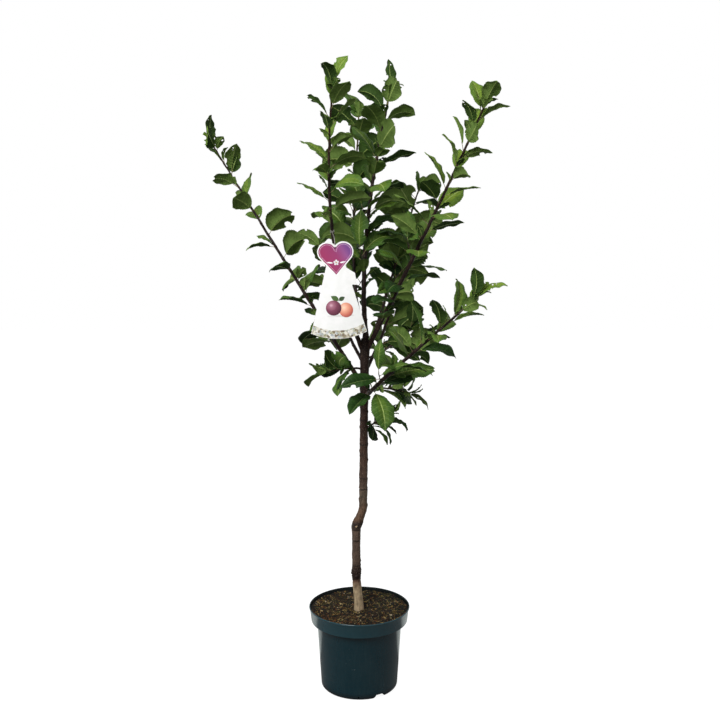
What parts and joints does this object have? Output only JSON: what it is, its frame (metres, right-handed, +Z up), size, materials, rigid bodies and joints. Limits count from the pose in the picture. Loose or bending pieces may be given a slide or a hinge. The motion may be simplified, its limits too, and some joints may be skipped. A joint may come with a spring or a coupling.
{
  "type": "potted plum tree",
  "caption": "Young gage plum tree in a round nursery pot: a slender kinked trunk, upright leafy boughs, and a heart-topped label hanging from one bough.",
  "frame": {"origin": "middle of the pot's flat underside", "axes": "+Z up along the trunk, -Y towards the front, where the label hangs, +X to the right"},
  "size_m": [0.7227, 0.6383, 1.598],
  "materials": {
    "pot_plastic": "dark petrol green polypropylene, satin and a little scuffed",
    "peat": "moist fibrous peat with tan bark chips",
    "bark": "smooth young bark with lenticels and faint rings, rougher at the foot",
    "foliage": "thin leaves, softly glossy above and paler below",
    "label_card": "printed plastic card, satin",
    "tie_wire": "pale plastic-covered wire"
  },
  "bodies": {
    "root": {"pot": "pot_plastic", "soil": "peat", "trunk": "bark", "bough_right_leader": "bark", "bough_left_leader": "bark", "bough_right_bough": "bark", "bough_back_leader": "bark", "bough_right_back_bough": "bark", "bough_left_bough": "bark", "bough_low_right_bough": "bark", "bough_back_bough": "bark", "bough_left_back_bough": "bark", "leaves_right_leader": "foliage", "leaves_left_leader": "foliage", "leaves_right_bough": "foliage", "leaves_back_leader": "foliage", "leaves_right_back_bough": "foliage", "leaves_left_bough": "foliage", "leaves_low_right_bough": "foliage", "leaves_back_bough": "foliage", "leaves_left_back_bough": "foliage", "leaves_inner_spray": "foliage", "leaves_hanging_spray": "foliage", "leaves_left_spray": "foliage", "leaves_low_spray": "foliage", "label": "label_card", "tie": "tie_wire"}
  },
  "joints": []
}
